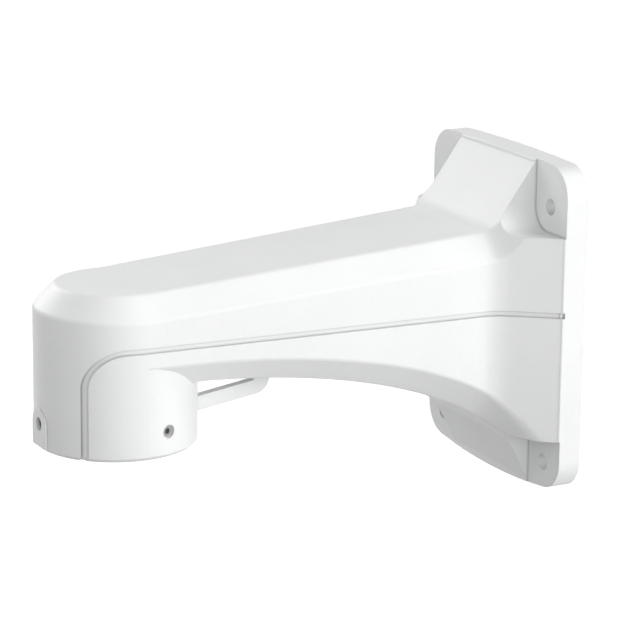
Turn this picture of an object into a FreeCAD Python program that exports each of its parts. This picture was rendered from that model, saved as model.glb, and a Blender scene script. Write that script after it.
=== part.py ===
import FreeCAD, Part
import math
import os

# Wall bracket for a dome camera, millimetres, +Z up.
# The wall is the plane y = 0 and the arm reaches out towards -Y.
# The origin is the centre of the four wall screws on the wall face.
# A "reach" below is a distance from the wall, so y = -reach.

# Wall plate
plate_width = 142.5
plate_top = 95.4            # above the centre of the screw pattern
plate_bottom = -88.6
top_bow = 1.8               # how far the top edge falls towards its corners
bottom_bow = 5.5
plate_edge = 14.2           # thickness of the rim
plate_corner = 17.0         # corner radius seen from the front
plate_rounding = 1.2        # front edge of the rim
rim_wall = 5.0

# Wall screws and the corner pockets that give access to them
screw_span_x = 109.0
screw_span_z = 142.5
screw_hole = 9.0
boss_diameter = 20.0
pocket_inner_x = 39.5
pocket_floor = 13.0
upper_pocket_z = 57.0
lower_pocket_z = -55.9
upper_pocket_corner = 13.0
lower_pocket_corner = 6.0
web_thickness = 3.0
web_height = 9.0

# Arm: half width, top and the bevels along its four long edges
arm_half_width_root = 49.7
arm_top_root = 57.3
root_reach = 42.3
bevel_in_root = 12.6
bevel_in_head = 11.3
bevel_down_root = 13.2
bevel_down_head = 12.0
bevel_low_in = 12.5
bevel_low = 13.0
bevel_low_growth = 0.085    # extra height of the lower bevel for each mm the arch falls
ridge_rounding = 4.0
low_ridge_rounding = 2.5
low_ridge_growth = 0.3      # extra rounding for each mm into the root
low_ridge_lead = 8.0        # how far ahead of the root that rounding starts to grow
head_easing = 10.0          # run over which the arm's taper dies out at the head

# Underside: a level run behind the head, then a quarter of an ellipse
arch_level = 5.0
arch_start = 223.0
arch_length = 200.0
arch_fall = 65.0

# Root: where the four faces of the flare meet the plate, and how steep two of them are
root_half_width = 70.4
root_top = 93.0
root_top_slope = 1.38
root_low_side = -67.0
root_bottom = -84.2
root_bottom_slope = 2.05
width_blend = 5.0
top_blend = 6.0
side_blend = 4.0
bottom_blend = 8.0

# Head
head_reach = 243.0
head_radius = 42.9
head_top = 42.4
head_bottom = -43.4
lip_chamfer = 1.8
cup_radius = 36.5
cup_depth = 34.0
cable_opening_radius = 27.0
mouth_chamfer = 1.0

# Locking screws of the head
lock_height = -29.6
lock_angles = (0.0, 106.0, -106.0)   # seen from above, from the front of the head
lock_diameter = 6.0
lock_clearance = 0.05
lock_recess = 1.3
lock_counterbore = 7.2
lock_length = 4.8
socket_across_flats = 3.0
socket_depth = 2.6
pad_radius = 8.5
pad_proud = 0.5
pad_bottom = -41.6
pad_root = 1.0              # how far the pad starts outside the cup

# Walls of the casting
wall = 3.4

# Styling groove, drawn in the side view
groove_height = 14.7
groove_width = 3.0
groove_depth = 1.5
groove_bend = 20.0
groove_front = 30.3         # front run of the groove ahead of the head's axis
groove_notch = 2.0          # run of the groove in the edge of the plate

# Lanyard loop under the arm, in the side view
loop_width = 5.0
loop_bar = 8.0
loop_end_reach = 154.5
loop_end_height = -26.6
loop_slope = 0.15
loop_rounding = 9.0

# Sections that the arm is drawn through, closer together at the root and at the head
section_counts = (16, 8, 6)  # at the root, along the arm and at the head
root_run = 14.0             # how far past the root the close sections go on
head_run = 1.5              # close sections at the head, in lengths of its easing

far = 400.0                 # longer than anything that is cut
overlap = 0.5               # how far joined forms run into each other
hidden_corner = 0.5         # rounding of corners that end inside or outside the part
same_place = 0.01           # points closer together than this count as one
bevel_share = math.tan(math.radians(22.5))   # corner shift of a 45 degree bevel for an inset


def point(x, reach, z):
    return FreeCAD.Vector(x, -reach, z)


def soft_max(a, b, width):
    """The larger of two values, rounded where they cross."""
    closeness = max(width - abs(a - b), 0.0)
    return max(a, b) + closeness * closeness / (4 * width)


def between(reach, at_head, at_root):
    """A value that changes evenly along the arm and levels out at the head's axis."""
    run = max(head_reach - reach, 0.0)
    if run < head_easing:
        eased = run * run / (2 * head_easing)
    else:
        eased = run - head_easing / 2
    share = eased / (head_reach - root_reach - head_easing / 2)
    return at_head + (at_root - at_head) * share


def half_width(reach):
    arm = between(reach, head_radius, arm_half_width_root)
    steepness = (root_half_width - arm_half_width_root) / (root_reach - plate_edge)
    flare = root_half_width - steepness * (reach - plate_edge)
    return soft_max(arm, flare, width_blend)


def top_height(reach):
    arm = between(reach, head_top, arm_top_root)
    slope = root_top - root_top_slope * (reach - plate_edge)
    return soft_max(arm, slope, top_blend)


def arch_drop(reach):
    """Fall of the ellipse below its level run; straight on from the root inwards."""
    along = max(arch_start - max(reach, root_reach), 0.0) / arch_length
    height = math.sqrt(1 - along * along)
    steepness = arch_fall * along / (arch_length * height)
    return arch_fall * (1 - height) + steepness * max(root_reach - reach, 0.0)


def low_side_height(reach):
    arch = arch_level - arch_drop(reach)
    corner = arch_level - arch_drop(root_reach)
    steepness = (corner - root_low_side) / (root_reach - plate_edge)
    ramp = root_low_side + steepness * (reach - plate_edge)
    return -soft_max(-arch, -ramp, side_blend)


def underside_height(reach):
    arch = arch_level - bevel_low - (1 + bevel_low_growth) * arch_drop(reach)
    ramp = root_bottom + root_bottom_slope * (reach - plate_edge)
    return -soft_max(-arch, -ramp, bottom_blend)


def rounded_outline(corners, radii):
    """A closed wire through the corners, each rounded with its own radius."""
    starts = []
    edges = []
    count = len(corners)
    for i in range(count):
        corner = corners[i]
        before = (corners[i - 1] - corner).normalize()
        after = (corners[(i + 1) % count] - corner).normalize()
        opening = before.getAngle(after)
        run = radii[i] / math.tan(opening / 2)
        middle = (before + after).normalize()
        centre = corner + middle * (radii[i] / math.sin(opening / 2))
        starts.append((corner + before * run, centre - middle * radii[i], corner + after * run))
    for i in range(count):
        enter, mid, leave = starts[i]
        edges.append(Part.Arc(enter, mid, leave).toShape())
        edges.append(Part.LineSegment(leave, starts[(i + 1) % count][0]).toShape())
    return Part.Wire(edges)


def arm_section(reach, inset, shift):
    """The bevelled section of the arm, drawn smaller by the inset for the hollow."""
    size = reach + shift
    side = half_width(size) - inset
    top = top_height(size) - inset
    low = low_side_height(size) + bevel_share * inset
    bottom = underside_height(size) + inset
    bevel_in = between(size, bevel_in_head, bevel_in_root)
    bevel_down = between(size, bevel_down_head, bevel_down_root)
    upper_x = side - bevel_in + (1 - bevel_share) * inset
    upper_z = top - bevel_down + (1 - bevel_share) * inset
    lower_x = side - bevel_low_in + (1 - bevel_share) * inset
    right = [(lower_x, bottom), (side, low), (side, upper_z), (upper_x, top)]
    left = [(-x, z) for x, z in reversed(right)]
    corners = [point(x, reach, z) for x, z in right + left]
    ridge = ridge_rounding - inset / 2
    into_root = max(root_reach + low_ridge_lead - size, 0.0)
    low_ridge = low_ridge_rounding + low_ridge_growth * into_root - inset / 3
    radii = [low_ridge, low_ridge, ridge, ridge, ridge, ridge, low_ridge, low_ridge]
    return rounded_outline(corners, radii)


def arm_form(reaches, inset, shift):
    sections = [arm_section(reach, inset, shift) for reach in reaches]
    return Part.makeLoft(sections, True, False)


def stations(last):
    """Reaches of the sections, from the head's axis back to the last one."""
    root_end = root_reach + root_run
    arm_end = head_reach - head_run * head_easing
    ends = [last, root_end, arm_end, head_reach]
    reaches = [start + (end - start) * i / count
               for start, end, count in zip(ends, ends[1:], section_counts) for i in range(count)]
    return [head_reach] + reaches[::-1]


def rounded_plate(inset, thickness):
    """The plate's outline, bowed at the top and bottom, with rounded corners."""
    half_x = plate_width / 2 - inset
    high = plate_top - inset
    low = plate_bottom + inset
    lower_right = point(half_x, 0, low + bottom_bow)
    upper_right = point(half_x, 0, high - top_bow)
    upper_left = point(-half_x, 0, high - top_bow)
    lower_left = point(-half_x, 0, low + bottom_bow)
    edges = [Part.LineSegment(lower_right, upper_right).toShape(),
             Part.Arc(upper_right, point(0, 0, high), upper_left).toShape(),
             Part.LineSegment(upper_left, lower_left).toShape(),
             Part.Arc(lower_left, point(0, 0, low), lower_right).toShape()]
    block = Part.Face(Part.Wire(edges)).extrude(point(0, thickness, 0))
    corner_edges = [e for e in block.Edges
                    if abs(e.Vertexes[0].Point.y - e.Vertexes[-1].Point.y) > thickness / 2]
    return block.makeFillet(plate_corner - inset, corner_edges)


def head_profile(inset, bottom):
    """Half section of the head down to the bottom, turned about its axis by the caller."""
    radius = head_radius - inset
    top = head_top - inset
    smaller = (1 - bevel_share) * inset
    ridge = ridge_rounding - inset / 2
    points = [point(radius, head_reach, bottom),
              point(radius, head_reach, top - bevel_down_head + smaller),
              point(radius - bevel_in_head + smaller, head_reach, top)]
    on_axis_top = point(0, head_reach, top)
    on_axis_bottom = point(0, head_reach, bottom)
    edges = []
    start = on_axis_top
    for i in (2, 1):
        corner = points[i]
        before = ((points[i + 1] if i < 2 else on_axis_top) - corner).normalize()
        after = (points[i - 1] - corner).normalize()
        opening = before.getAngle(after)
        run = ridge / math.tan(opening / 2)
        middle = (before + after).normalize()
        crest = corner + middle * (ridge / math.sin(opening / 2) - ridge)
        edges.append(Part.LineSegment(start, corner + before * run).toShape())
        edges.append(Part.Arc(corner + before * run, crest, corner + after * run).toShape())
        start = corner + after * run
    lip_top = point(radius, head_reach, bottom + lip_chamfer)
    lip_low = point(radius - lip_chamfer, head_reach, bottom)
    edges.append(Part.LineSegment(start, lip_top).toShape())
    edges.append(Part.LineSegment(lip_top, lip_low).toShape())
    edges.append(Part.LineSegment(lip_low, on_axis_bottom).toShape())
    edges.append(Part.LineSegment(on_axis_bottom, on_axis_top).toShape())
    return Part.Face(Part.Wire(edges))


def turned(face, degrees):
    return face.revolve(point(0, head_reach, 0), FreeCAD.Vector(0, 0, 1), degrees)


def upright_cylinder(radius, low_z, high_z):
    return Part.makeCylinder(radius, high_z - low_z, point(0, head_reach, low_z))


def arm_and_head(inset):
    """The arm with the head's front half, and its rear half as far as the arm hides it."""
    profile = head_profile(inset, head_bottom)
    front = turned(profile, -180)
    below = Part.makeBox(far, far, arch_level - head_bottom,
                         point(-far / 2, head_reach, head_bottom))
    rear = turned(profile, 180).common(below)
    arm = arm_form(stations(plate_edge - overlap), inset, 0.0)
    return arm.fuse([front, rear])


def plate():
    """The wall plate's block, its front edge rounded."""
    block = rounded_plate(0.0, plate_edge)
    front_edges = [e for e in block.Edges
                   if all(abs(v.Point.y + plate_edge) < same_place for v in e.Vertexes)]
    return block.makeFillet(plate_rounding, front_edges)


def corner_pockets(grow):
    """Boxes at the four corners; grown by a wall they are kept out of the hollow."""
    tools = []
    floor = pocket_floor - grow
    for side in (1, -1):
        for z_inner, up, corner in ((upper_pocket_z, 1, upper_pocket_corner),
                                    (lower_pocket_z, -1, lower_pocket_corner)):
            x0 = (pocket_inner_x - grow) * side
            z0 = z_inner - grow * up
            corners = [point(x0, floor, z0), point(far * side, floor, z0),
                       point(far * side, floor, far * up), point(x0, floor, far * up)]
            outline = rounded_outline(corners, [corner + grow] + [hidden_corner] * 3)
            tools.append(Part.Face(outline).extrude(point(0, far, 0)))
    return tools


def wall_screw_places():
    return [(x * screw_span_x / 2, z * screw_span_z / 2) for x in (1, -1) for z in (1, -1)]


def level_cylinder(x, z, radius, from_reach, to_reach):
    return Part.makeCylinder(radius, to_reach - from_reach,
                             point(x, from_reach, z), FreeCAD.Vector(0, -1, 0))


def bosses_and_webs():
    """Screw bosses behind the pockets, each tied to the rim by two webs."""
    solids = []
    web_end = pocket_floor - wall + overlap
    web_run = web_height + overlap
    for x, z in wall_screw_places():
        solids.append(level_cylinder(x, z, boss_diameter / 2, 0, pocket_floor))
        edge_x = math.copysign(plate_width / 2 - rim_wall / 2, x)
        edge_z = plate_top - rim_wall / 2 if z > 0 else plate_bottom + rim_wall / 2
        level_web = Part.makeBox(abs(edge_x - x), web_run, web_thickness,
                                 point(min(x, edge_x), web_end, z - web_thickness / 2))
        upright_web = Part.makeBox(web_thickness, web_run, abs(edge_z - z),
                                   point(x - web_thickness / 2, web_end, min(z, edge_z)))
        solids += [level_web, upright_web]
    return solids


def hollow():
    """The cable passage: open back, root, arm and the room above the cup."""
    back_depth = plate_edge - wall
    back = rounded_plate(rim_wall, back_depth)
    passage = arm_form(stations(back_depth - overlap), wall, wall)
    room = turned(head_profile(wall, underside_height(head_reach) + wall), -180)
    space = back.fuse([passage, room])
    return space.cut(corner_pockets(wall)).cut(bosses_and_webs())


def cup():
    """Socket for the camera's neck and the cable opening in its roof."""
    socket = upright_cylinder(cup_radius, head_bottom, head_bottom + cup_depth)
    flare = Part.makeCone(cup_radius + mouth_chamfer, cup_radius, mouth_chamfer,
                          point(0, head_reach, head_bottom))
    opening = upright_cylinder(cable_opening_radius, head_bottom, arch_level)
    return socket.fuse([flare, opening])


def groove():
    """A band drawn in the side view, kept only in the outer skin."""
    half = groove_width / 2
    front = head_reach + groove_front
    bands = []
    for radius, z, reach in ((groove_bend + half, groove_height + half, front + half),
                             (groove_bend - half, groove_height - half, front - half)):
        turn = reach - radius
        crest = radius * math.sqrt(0.5)
        below_front = point(0, reach, head_bottom - overlap)
        above_front = point(0, reach, z - radius)
        bend = point(0, turn + crest, z - radius + crest)
        level_start = point(0, turn, z)
        level_end = point(0, plate_edge / 2, z)
        below_end = point(0, plate_edge / 2, head_bottom - overlap)
        edges = [Part.LineSegment(below_front, above_front),
                 Part.Arc(above_front, bend, level_start),
                 Part.LineSegment(level_start, level_end),
                 Part.LineSegment(level_end, below_end),
                 Part.LineSegment(below_end, below_front)]
        face = Part.Face(Part.Wire([e.toShape() for e in edges]))
        solid = face.extrude(FreeCAD.Vector(far, 0, 0))
        solid.translate(FreeCAD.Vector(-far / 2, 0, 0))
        bands.append(solid)
    band = bands[0].cut(bands[1])
    in_plate = rounded_plate(groove_depth, plate_edge)
    behind_notch = Part.makeBox(far, plate_edge - groove_notch, far,
                                point(-far / 2, plate_edge - groove_notch, -far / 2))
    return band.cut([arm_and_head(groove_depth), in_plate, behind_notch])


def lanyard_loop():
    """Bar under the arm that leaves the head and turns up into the underside."""
    inside_head = head_reach - head_radius + wall / 2
    low = loop_end_height - loop_slope * (inside_head - loop_end_reach)
    into_arm = underside_height(loop_end_reach) + wall / 2
    inner_turn = loop_end_height + loop_bar - loop_slope * loop_bar
    corners = [point(-loop_width / 2, inside_head, low),
               point(-loop_width / 2, loop_end_reach, loop_end_height),
               point(-loop_width / 2, loop_end_reach, into_arm),
               point(-loop_width / 2, loop_end_reach + loop_bar, into_arm),
               point(-loop_width / 2, loop_end_reach + loop_bar, inner_turn),
               point(-loop_width / 2, inside_head, low + loop_bar)]
    radii = [hidden_corner, loop_rounding, hidden_corner,
             hidden_corner, loop_rounding / 3, hidden_corner]
    outline = rounded_outline(corners, radii)
    return Part.Face(outline).extrude(FreeCAD.Vector(loop_width, 0, 0))


def front_pad():
    """Flat pad on the front of the head, round above its screw hole."""
    starts = head_reach + cup_radius + pad_root
    ends = head_reach + head_radius + pad_proud
    disc = level_cylinder(0, lock_height, pad_radius, starts, ends)
    foot = Part.makeBox(2 * pad_radius, ends - starts, lock_height - pad_bottom,
                        point(-pad_radius, ends, pad_bottom))
    return disc.fuse(foot).removeSplitter()


def around_head(solid, angle):
    turned_solid = solid.copy()
    turned_solid.rotate(point(0, head_reach, 0), FreeCAD.Vector(0, 0, 1), angle)
    return turned_solid


def lock_face(angle):
    return head_radius + (pad_proud if angle == 0 else 0.0)


def lock_holes():
    tools = []
    for angle in lock_angles:
        outside = head_reach + lock_face(angle)
        bore = level_cylinder(0, lock_height, lock_diameter / 2,
                              head_reach, outside + overlap)
        mouth = level_cylinder(0, lock_height, lock_counterbore / 2,
                               outside - lock_recess, outside + overlap)
        tools.append(around_head(bore.fuse(mouth), angle))
    return tools


def locking_screws():
    """Set screws with a hexagon socket, turned home in the holes of the head."""
    screws = []
    radius = lock_diameter / 2 - lock_clearance
    for angle in lock_angles:
        outer = head_reach + lock_face(angle) - lock_recess
        blank = level_cylinder(0, lock_height, radius, outer - lock_length, outer)
        hexagon = []
        for k in range(6):
            turn = math.radians(60 * k)
            reach_out = socket_across_flats / math.sqrt(3)
            hexagon.append(point(reach_out * math.cos(turn), outer,
                                 lock_height + reach_out * math.sin(turn)))
        socket = Part.Face(Part.makePolygon(hexagon + [hexagon[0]]))
        screw = blank.cut(socket.extrude(FreeCAD.Vector(0, socket_depth, 0)))
        screws.append(around_head(screw, angle))
    return Part.makeCompound(screws)


def bracket_body():
    body = arm_and_head(0.0).fuse(plate())
    body = body.cut(corner_pockets(0.0))
    body = body.cut(groove())
    body = body.fuse([front_pad(), lanyard_loop()])
    body = body.cut(hollow())
    body = body.cut(cup())
    body = body.cut(lock_holes())
    holes = [level_cylinder(x, z, screw_hole / 2, -overlap, plate_edge)
             for x, z in wall_screw_places()]
    return body.cut(holes)


os.makedirs("parts", exist_ok=True)
nodes = {"bracket_body": bracket_body(), "locking_screws": locking_screws()}
for name, shape in nodes.items():
    print(name, "valid", shape.isValid(), "solids", len(shape.Solids),
          "volume", round(shape.Volume), "faces", len(shape.Faces))
    print("   ", shape.BoundBox)
    shape.exportStep(f"parts/{name}.step")
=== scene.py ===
import bpy
import math
from mathutils import Matrix, Vector

# Looks of the wall bracket: satin white powder coat, dark set screws, soft studio light.
# Metres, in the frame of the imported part. Azimuth 0 faces -Y (out of the wall), 90 faces +X.

# Camera, solved from the photograph
camera_azimuth = 62.573
camera_elevation = 14.440
camera_roll = 0.615
camera_place = (1.3380, -0.8212, 0.4003)
camera_lens = 165.97        # millimetres, as is the sensor
camera_sensor = 36
camera_clip = (0.05, 50)    # nearest and farthest distance shown

# Lamps: name, aim, azimuth, elevation, distance, size, watts
middle = Vector((0.0, -0.14, 0.0))
head = Vector((0.0, -0.24, 0.0))
lamps = (
    ("key_light", middle, 135, 5, 1.4, 0.8, 9.6),
    ("side_light", middle, 110, 5, 1.4, 0.8, 3.5),
    ("left_light", middle, -70, 25, 1.4, 0.8, 9.1),
    ("top_light", middle, 150, 65, 1.4, 0.8, 8.3),
    ("head_light", head, 75, 10, 0.7, 0.5, 1.75),
    ("corner_light", head, 50, 40, 0.7, 0.5, 0.7),
    ("front_light", head, -15, 25, 0.7, 0.5, 1.25),
)

# Room: a weak sky and a wide floor, both white where they are seen
white_light = (1, 1, 1, 1)
sky_strength = 0.05
floor_height = -0.32
floor_size = 12.0
floor_tone = 0.38
floor_roughness = 0.9
floor_lift = 0.93           # glow added where it is seen, so that the lit floor reads as white

# Noises: cells per metre, detail
grain_noise = (1400.0, 2.0)     # fine grain of the coat
ripple_noise = (260.0, 1.0)     # long ripple of the melted powder
cloud_noise = (22.0, 3.0)       # faint clouds of tone
speckle_noise = (3200.0, 3.0)   # speckle of the screws
tone_stops = (0.35, 0.65)       # noise values where the first and the second tone are pure

# Height of the relief that each noise makes
grain_height = 0.00003
ripple_height = 0.00006
speckle_height = 0.00005

# Powder coat
coat_colour = (0.825, 0.830, 0.832)
coat_shade = (0.805, 0.810, 0.812)
coat_roughness = 0.44
coat_roughness_swing = 0.05     # more and less than that, along with the grain
coat_specular = 0.4
edge_radius = 0.0005            # how soft the casting's edges look
edge_samples = 6

# Painted shade: a darker base colour in tight corners and grooves, where shade falls
painted_shade_colour = (0.40, 0.405, 0.41)
painted_shade_reach = 0.0018
painted_shade_openness = (0.30, 0.90)  # openness (ambient occlusion) where the painted shade is full, and where it is gone
painted_shade_samples = 8

# Set screws
screw_colour = (0.24, 0.24, 0.243)
screw_worn = (0.30, 0.30, 0.303)
screw_metal = 0.35
screw_roughness = 0.5

# Colour sockets of a Mix node, by number because its other sockets share their names
mix_first = 6
mix_second = 7
mix_result = 2


def link(tree, a, b):
    tree.links.new(a, b)


def new_material(name):
    material = bpy.data.materials.new(name)
    material.use_nodes = True
    tree = material.node_tree
    return material, tree, tree.nodes["Principled BSDF"]


def noise(tree, scale, detail):
    """Noise laid out in the part's own coordinates."""
    where = tree.nodes.new("ShaderNodeTexCoord")
    texture = tree.nodes.new("ShaderNodeTexNoise")
    texture.inputs["Scale"].default_value = scale
    texture.inputs["Detail"].default_value = detail
    link(tree, where.outputs["Object"], texture.inputs["Vector"])
    return texture


def bump(tree, height, distance, normal):
    node = tree.nodes.new("ShaderNodeBump")
    node.inputs["Strength"].default_value = 1.0
    node.inputs["Distance"].default_value = distance
    link(tree, height, node.inputs["Height"])
    link(tree, normal, node.inputs["Normal"])
    return node


def two_tones(tree, factor, first, second):
    ramp = tree.nodes.new("ShaderNodeValToRGB")
    for stop, place, tone in zip(ramp.color_ramp.elements, tone_stops, (first, second)):
        stop.position = place
        stop.color = (*tone, 1)
    link(tree, factor, ramp.inputs["Fac"])
    return ramp


def powder_coat():
    material, tree, shader = new_material("powder_coat")
    grain = noise(tree, *grain_noise)
    ripple = noise(tree, *ripple_noise)
    cloud = noise(tree, *cloud_noise)
    soft_edges = tree.nodes.new("ShaderNodeBevel")
    soft_edges.samples = edge_samples
    soft_edges.inputs["Radius"].default_value = edge_radius
    rippled = bump(tree, ripple.outputs["Fac"], ripple_height, soft_edges.outputs["Normal"])
    grained = bump(tree, grain.outputs["Fac"], grain_height, rippled.outputs["Normal"])
    link(tree, grained.outputs["Normal"], shader.inputs["Normal"])
    tones = two_tones(tree, cloud.outputs["Fac"], coat_shade, coat_colour)
    # Painted shade: ambient occlusion within a short reach darkens the coat's colour in tight
    # corners and grooves
    corners = tree.nodes.new("ShaderNodeAmbientOcclusion")
    corners.samples = painted_shade_samples
    corners.inputs["Distance"].default_value = painted_shade_reach
    painted_shade_mask = tree.nodes.new("ShaderNodeMapRange")
    painted_shade_mask.inputs["From Min"].default_value = painted_shade_openness[0]
    painted_shade_mask.inputs["From Max"].default_value = painted_shade_openness[1]
    link(tree, corners.outputs["AO"], painted_shade_mask.inputs["Value"])
    # Mix the painted shade colour into the coat's base colour where the surface is occluded
    coat = tree.nodes.new("ShaderNodeMix")
    coat.data_type = "RGBA"
    coat.inputs[mix_first].default_value = (*painted_shade_colour, 1)
    link(tree, painted_shade_mask.outputs["Result"], coat.inputs["Factor"])
    link(tree, tones.outputs["Color"], coat.inputs[mix_second])
    link(tree, coat.outputs[mix_result], shader.inputs["Base Color"])
    sheen = tree.nodes.new("ShaderNodeMapRange")
    sheen.inputs["To Min"].default_value = coat_roughness - coat_roughness_swing
    sheen.inputs["To Max"].default_value = coat_roughness + coat_roughness_swing
    link(tree, grain.outputs["Fac"], sheen.inputs["Value"])
    link(tree, sheen.outputs["Result"], shader.inputs["Roughness"])
    shader.inputs["Specular IOR Level"].default_value = coat_specular
    return material


def screw_steel():
    material, tree, shader = new_material("screw_steel")
    speckle = noise(tree, *speckle_noise)
    normal = tree.nodes.new("ShaderNodeNewGeometry")
    rough = bump(tree, speckle.outputs["Fac"], speckle_height, normal.outputs["Normal"])
    link(tree, rough.outputs["Normal"], shader.inputs["Normal"])
    tones = two_tones(tree, speckle.outputs["Fac"], screw_colour, screw_worn)
    link(tree, tones.outputs["Color"], shader.inputs["Base Color"])
    shader.inputs["Metallic"].default_value = screw_metal
    shader.inputs["Roughness"].default_value = screw_roughness
    return material


def dress(node, material):
    node.data.materials.clear()
    node.data.materials.append(material)


def seen_directly(tree):
    """1 for rays from the camera or a mirror-like surface, 0 for those that carry soft light."""
    path = tree.nodes.new("ShaderNodeLightPath")
    seen = path.outputs["Is Camera Ray"]
    for kind in ("Is Glossy Ray", "Is Transmission Ray"):
        either = tree.nodes.new("ShaderNodeMath")
        either.operation = "MAXIMUM"
        link(tree, seen, either.inputs[0])
        link(tree, path.outputs[kind], either.inputs[1])
        seen = either.outputs["Value"]
    return seen


def studio_floor():
    bpy.ops.mesh.primitive_plane_add(size=floor_size, location=(0, 0, floor_height))
    floor = bpy.context.active_object
    floor.name = "studio_floor"
    material, tree, shader = new_material("pale_floor")
    shader.inputs["Base Color"].default_value = (floor_tone, floor_tone, floor_tone, 1)
    shader.inputs["Roughness"].default_value = floor_roughness
    lift = tree.nodes.new("ShaderNodeMath")
    lift.operation = "MULTIPLY"
    lift.inputs[1].default_value = floor_lift
    link(tree, seen_directly(tree), lift.inputs[0])
    glow = tree.nodes.new("ShaderNodeEmission")
    link(tree, lift.outputs["Value"], glow.inputs["Strength"])
    both = tree.nodes.new("ShaderNodeAddShader")
    link(tree, shader.outputs["BSDF"], both.inputs[0])
    link(tree, glow.outputs["Emission"], both.inputs[1])
    link(tree, both.outputs["Shader"], tree.nodes["Material Output"].inputs["Surface"])
    floor.data.materials.append(material)


def sky():
    world = bpy.data.worlds.new("soft_room")
    bpy.context.scene.world = world
    world.use_nodes = True
    tree = world.node_tree
    room = tree.nodes["Background"]
    room.inputs["Color"].default_value = white_light
    room.inputs["Strength"].default_value = sky_strength
    white = tree.nodes.new("ShaderNodeBackground")
    white.inputs["Color"].default_value = white_light
    mix = tree.nodes.new("ShaderNodeMixShader")
    link(tree, seen_directly(tree), mix.inputs["Fac"])
    link(tree, room.outputs["Background"], mix.inputs[1])
    link(tree, white.outputs["Background"], mix.inputs[2])
    link(tree, mix.outputs["Shader"], tree.nodes["World Output"].inputs["Surface"])


def towards(azimuth, elevation):
    """Direction out of the part, from angles in degrees."""
    a, e = math.radians(azimuth), math.radians(elevation)
    return Vector((math.sin(a) * math.cos(e), -math.cos(a) * math.cos(e), math.sin(e)))


def soft_box(name, aim, azimuth, elevation, distance, size, watts):
    data = bpy.data.lights.new(name, "AREA")
    data.shape = "SQUARE"
    data.size = size
    data.energy = watts
    lamp = bpy.data.objects.new(name, data)
    bpy.context.scene.collection.objects.link(lamp)
    out = towards(azimuth, elevation)
    lamp.location = aim + out * distance
    lamp.rotation_mode = "QUATERNION"
    lamp.rotation_quaternion = (-out).to_track_quat("-Z", "Y")


def photo_camera():
    back = towards(camera_azimuth, camera_elevation)
    a, roll = math.radians(camera_azimuth), math.radians(camera_roll)
    level = Vector((math.cos(a), math.sin(a), 0))
    up = back.cross(level)
    right = math.cos(roll) * level + math.sin(roll) * up
    above = -math.sin(roll) * level + math.cos(roll) * up
    data = bpy.data.cameras.new("photo_camera")
    data.lens = camera_lens
    data.sensor_width = camera_sensor
    data.clip_start, data.clip_end = camera_clip
    camera = bpy.data.objects.new("photo_camera", data)
    bpy.context.scene.collection.objects.link(camera)
    place = Matrix((right, above, back)).transposed().to_4x4()
    place.translation = Vector(camera_place)
    camera.matrix_world = place
    bpy.context.scene.camera = camera


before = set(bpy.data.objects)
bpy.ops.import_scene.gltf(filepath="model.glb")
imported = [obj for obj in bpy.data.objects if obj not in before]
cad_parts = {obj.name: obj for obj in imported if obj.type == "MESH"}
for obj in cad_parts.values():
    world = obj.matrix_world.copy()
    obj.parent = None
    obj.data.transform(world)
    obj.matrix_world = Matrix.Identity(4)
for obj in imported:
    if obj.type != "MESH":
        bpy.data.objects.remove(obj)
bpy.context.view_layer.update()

dress(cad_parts["bracket_body"], powder_coat())
dress(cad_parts["locking_screws"], screw_steel())

studio_floor()
sky()
for lamp in lamps:
    soft_box(*lamp)
photo_camera()
bpy.context.scene.view_settings.view_transform = "Standard"
